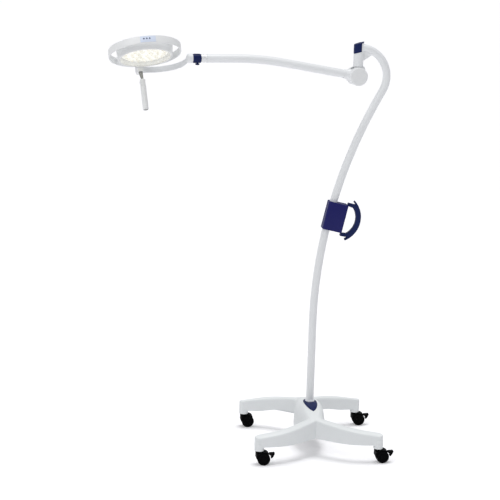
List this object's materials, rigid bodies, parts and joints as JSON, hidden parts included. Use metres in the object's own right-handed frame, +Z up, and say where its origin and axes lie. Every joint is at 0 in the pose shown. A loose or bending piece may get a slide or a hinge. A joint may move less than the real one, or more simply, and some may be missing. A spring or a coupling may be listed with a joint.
{
  "type": "examination lamp",
  "caption": "Mobile examination lamp: splayed base on casters, curved pole, jointed arm and a ring-framed LED head with a hanging handle.",
  "frame": {"origin": "on the floor, under the centre of the lamp's bounding box at rest", "axes": "+Z up, +X to the side that the pole bends towards, +Y to the back; the arm reaches out to -X"},
  "size_m": [1.3, 0.59, 1.9065],
  "materials": {
    "white_metal": "satin",
    "white_plastic": "satin",
    "navy_plastic": "satin",
    "black_plastic": "matte",
    "black_wheel": "matte",
    "steel": "satin",
    "bright_metal": "satin",
    "lens_plastic": "gloss",
    "clear_optics": "gloss",
    "board": "matte",
    "panel": "satin",
    "key": "satin"
  },
  "bodies": {
    "stand": {"base_casting": "white_metal", "ballast_plate": "steel", "pole_bolt": "steel", "hub_trim": "navy_plastic", "pole_collar": "white_plastic", "pole_tube": "white_metal", "swivel_sleeve": "white_metal", "sleeve_cap": "navy_plastic", "swivel_bush_lower": "black_plastic", "swivel_bush_upper": "black_plastic", "box_front": "navy_plastic", "box_back": "navy_plastic", "mains_inlet": "black_plastic", "power_supply": "steel", "pole_grip": "navy_plastic"},
    "swivel_column": {"swivel_spindle": "white_metal"},
    "spring_arm": {"knuckle_housing": "white_metal", "hinge_pin": "steel", "knuckle_cover_front": "white_plastic", "knuckle_cover_rear": "white_plastic", "arm_tube": "white_metal", "balance_spring": "steel", "arm_ferrule": "bright_metal", "friction_ring": "navy_plastic", "friction_knob": "navy_plastic"},
    "yoke": {"yoke_band": "white_metal", "roll_pin": "steel"},
    "lamp_head": {"pivot_screw": "steel", "guard_ring": "white_plastic", "lamp_housing": "white_plastic", "rear_cover": "white_plastic", "heat_sink": "bright_metal", "led_board": "board", "led_optics": "clear_optics", "lens_plate": "lens_plastic", "lens_bezel": "white_plastic", "key_panel": "panel", "handle_stem": "steel", "handle_collar": "white_plastic", "grip_sleeve": "white_plastic"},
    "key_dim": {"key_dim": "key"},
    "key_power": {"key_power": "key"},
    "key_bright": {"key_bright": "key"},
    "latch_button": {"latch_button": "white_plastic"},
    "caster_front_left": {"caster_stem_front_left": "steel", "caster_hood_front_left": "black_plastic"},
    "caster_wheels_front_left": {"caster_wheels_front_left": "black_wheel"},
    "brake_pedal_front_left": {"brake_pedal_front_left": "black_plastic"},
    "caster_front_right": {"caster_stem_front_right": "steel", "caster_hood_front_right": "black_plastic"},
    "caster_wheels_front_right": {"caster_wheels_front_right": "black_wheel"},
    "brake_pedal_front_right": {"brake_pedal_front_right": "black_plastic"},
    "caster_back_right": {"caster_stem_back_right": "steel", "caster_hood_back_right": "black_plastic"},
    "caster_wheels_back_right": {"caster_wheels_back_right": "black_wheel"},
    "brake_pedal_back_right": {"brake_pedal_back_right": "black_plastic"},
    "caster_back_left": {"caster_stem_back_left": "steel", "caster_hood_back_left": "black_plastic"},
    "caster_wheels_back_left": {"caster_wheels_back_left": "black_wheel"}
  },
  "joints": [
    {"name": "caster_swivel_front_left", "type": "hinge", "parent": "stand", "child": "caster_front_left", "pos_m": [0.03548, -0.272, 0.066], "axis": [0, 0, 1], "continuous": true},
    {"name": "caster_roll_front_left", "type": "hinge", "parent": "caster_front_left", "child": "caster_wheels_front_left", "pos_m": [0.05548, -0.272, 0.029], "axis": [0, 1, 0], "continuous": true},
    {"name": "brake_press_front_left", "type": "hinge", "parent": "caster_front_left", "child": "brake_pedal_front_left", "pos_m": [0.08398, -0.272, 0.048], "axis": [0, 1, 0], "range_deg": [0, 12]},
    {"name": "caster_swivel_front_right", "type": "hinge", "parent": "stand", "child": "caster_front_right", "pos_m": [0.57948, -0.272, 0.066], "axis": [0, 0, 1], "continuous": true},
    {"name": "caster_roll_front_right", "type": "hinge", "parent": "caster_front_right", "child": "caster_wheels_front_right", "pos_m": [0.59948, -0.272, 0.029], "axis": [0, 1, 0], "continuous": true},
    {"name": "brake_press_front_right", "type": "hinge", "parent": "caster_front_right", "child": "brake_pedal_front_right", "pos_m": [0.62798, -0.272, 0.048], "axis": [0, 1, 0], "range_deg": [0, 12]},
    {"name": "caster_swivel_back_right", "type": "hinge", "parent": "stand", "child": "caster_back_right", "pos_m": [0.57948, 0.272, 0.066], "axis": [0, 0, 1], "continuous": true},
    {"name": "caster_roll_back_right", "type": "hinge", "parent": "caster_back_right", "child": "caster_wheels_back_right", "pos_m": [0.59948, 0.272, 0.029], "axis": [0, 1, 0], "continuous": true},
    {"name": "brake_press_back_right", "type": "hinge", "parent": "caster_back_right", "child": "brake_pedal_back_right", "pos_m": [0.62798, 0.272, 0.048], "axis": [0, 1, 0], "range_deg": [0, 12]},
    {"name": "caster_swivel_back_left", "type": "hinge", "parent": "stand", "child": "caster_back_left", "pos_m": [0.03548, 0.272, 0.066], "axis": [0, 0, 1], "continuous": true},
    {"name": "caster_roll_back_left", "type": "hinge", "parent": "caster_back_left", "child": "caster_wheels_back_left", "pos_m": [0.05548, 0.272, 0.029], "axis": [0, 1, 0], "continuous": true},
    {"name": "arm_swing", "type": "hinge", "parent": "stand", "child": "swivel_column", "pos_m": [0.47126, 0, 1.722], "axis": [0, 0, 1], "range_deg": [-145, 140]},
    {"name": "arm_lift", "type": "hinge", "parent": "swivel_column", "child": "spring_arm", "pos_m": [0.46581, -0.00076, 1.722], "axis": [-0.1392, 0.9903, 0], "range_deg": [-35, 25]},
    {"name": "yoke_roll", "type": "hinge", "parent": "spring_arm", "child": "yoke", "pos_m": [-0.29602, -0.10783, 1.79852], "axis": [-0.9903, -0.1392, 0], "range_deg": [-135, 135]},
    {"name": "head_tilt", "type": "hinge", "parent": "yoke", "child": "lamp_head", "pos_m": [-0.48901, -0.1358, 1.7967], "axis": [0.1263, -0.8989, 0.4195], "range_deg": [-60, 60]},
    {"name": "latch_press", "type": "slide", "parent": "lamp_head", "child": "latch_button", "axis": [0.9876, 0.1536, 0.0317], "range_m": [0, 0.0015], "stiffness_N_per_m": 600, "springref_m": -0.0005},
    {"name": "key_dim_press", "type": "slide", "parent": "lamp_head", "child": "key_dim", "axis": [0.0904, 0.9109, -0.4027], "range_m": [0, 0.0006], "stiffness_N_per_m": 800, "springref_m": -0.0005},
    {"name": "key_power_press", "type": "slide", "parent": "lamp_head", "child": "key_power", "axis": [0.0123, 0.9116, -0.411], "range_m": [0, 0.0006], "stiffness_N_per_m": 800, "springref_m": -0.0005},
    {"name": "key_bright_press", "type": "slide", "parent": "lamp_head", "child": "key_bright", "axis": [-0.0658, 0.9066, -0.4167], "range_m": [0, 0.0006], "stiffness_N_per_m": 800, "springref_m": -0.0005}
  ]
}
